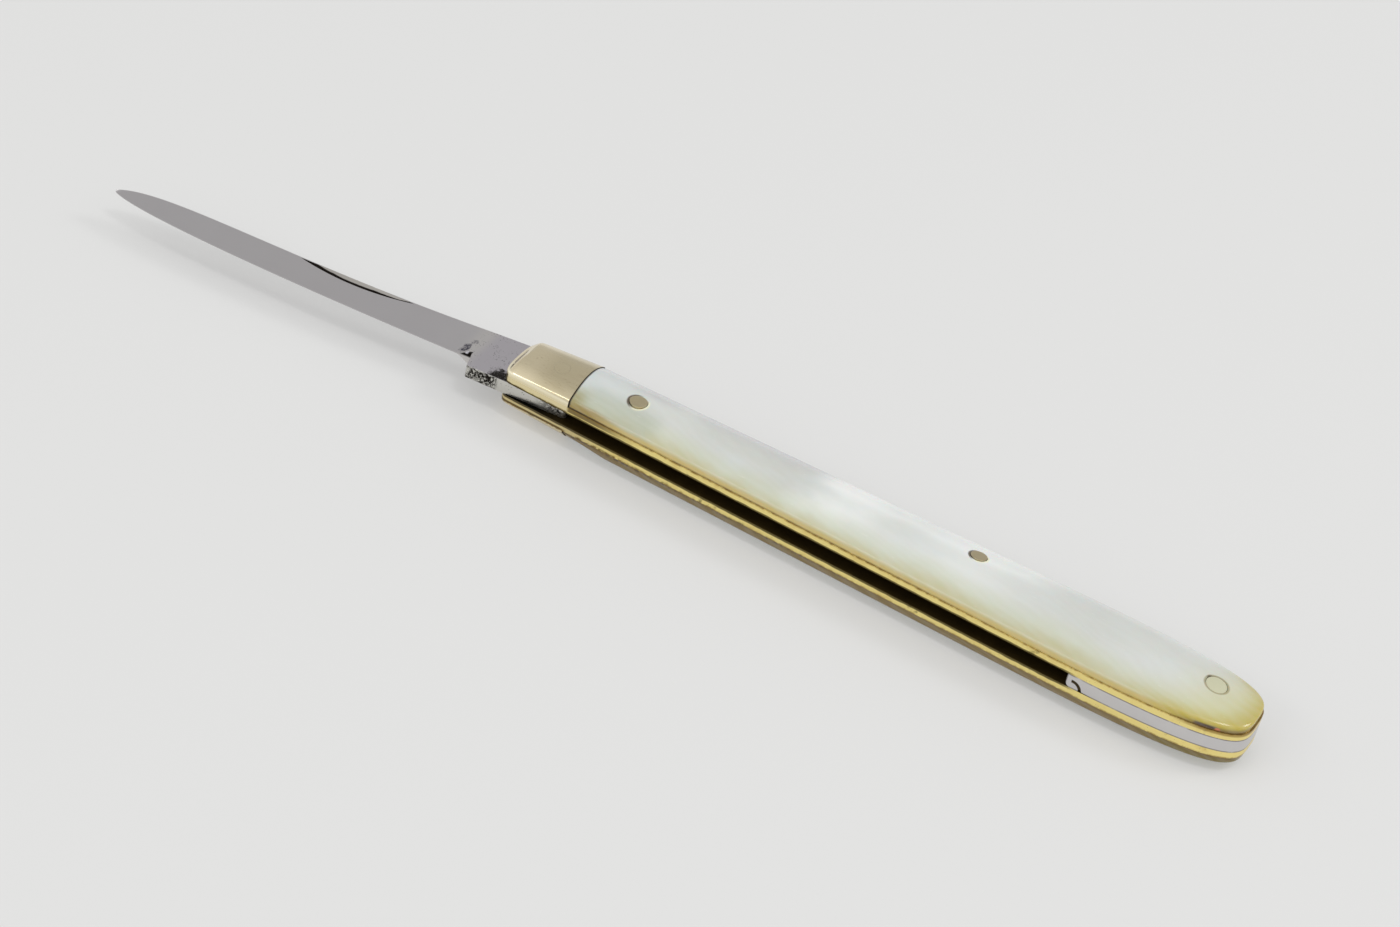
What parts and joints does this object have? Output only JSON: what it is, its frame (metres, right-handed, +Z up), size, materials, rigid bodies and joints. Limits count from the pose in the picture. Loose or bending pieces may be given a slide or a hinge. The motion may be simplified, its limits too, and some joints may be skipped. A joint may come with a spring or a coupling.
{
  "type": "pen knife",
  "caption": "Folding pen knife: slender blade held by a back spring, brass liners, nickel silver bolsters and domed mother-of-pearl scales.",
  "frame": {"origin": "middle of the open knife's bounding box, on the plane that it lies on", "axes": "+X along the handle from the blade's tip to the butt, +Y towards the back spring, +Z up through the mark side"},
  "size_m": [0.1316, 0.0104, 0.0074],
  "materials": {
    "blade_steel": "satin",
    "spring_steel": "satin",
    "liner_brass": "satin",
    "nickel_silver": "polished",
    "pin_metal": "satin",
    "pearl": "gloss"
  },
  "bodies": {
    "handle": {"pivot_pin": "nickel_silver", "back_spring": "spring_steel", "mark_liner": "liner_brass", "pile_liner": "liner_brass", "mark_bolster": "nickel_silver", "pile_bolster": "nickel_silver", "mark_scale": "pearl", "pile_scale": "pearl", "mark_scale_pin": "pin_metal", "pile_scale_pin": "pin_metal", "middle_pin": "pin_metal", "butt_pin": "pin_metal"},
    "blade": {"blade": "blade_steel"}
  },
  "joints": [
    {"name": "blade_pivot", "type": "hinge", "parent": "handle", "child": "blade", "pos_m": [-0.0129, -0.00082, 0.00363], "axis": [0, 0, 1], "range_deg": [0, 175], "deforming": ["back_spring"]}
  ]
}
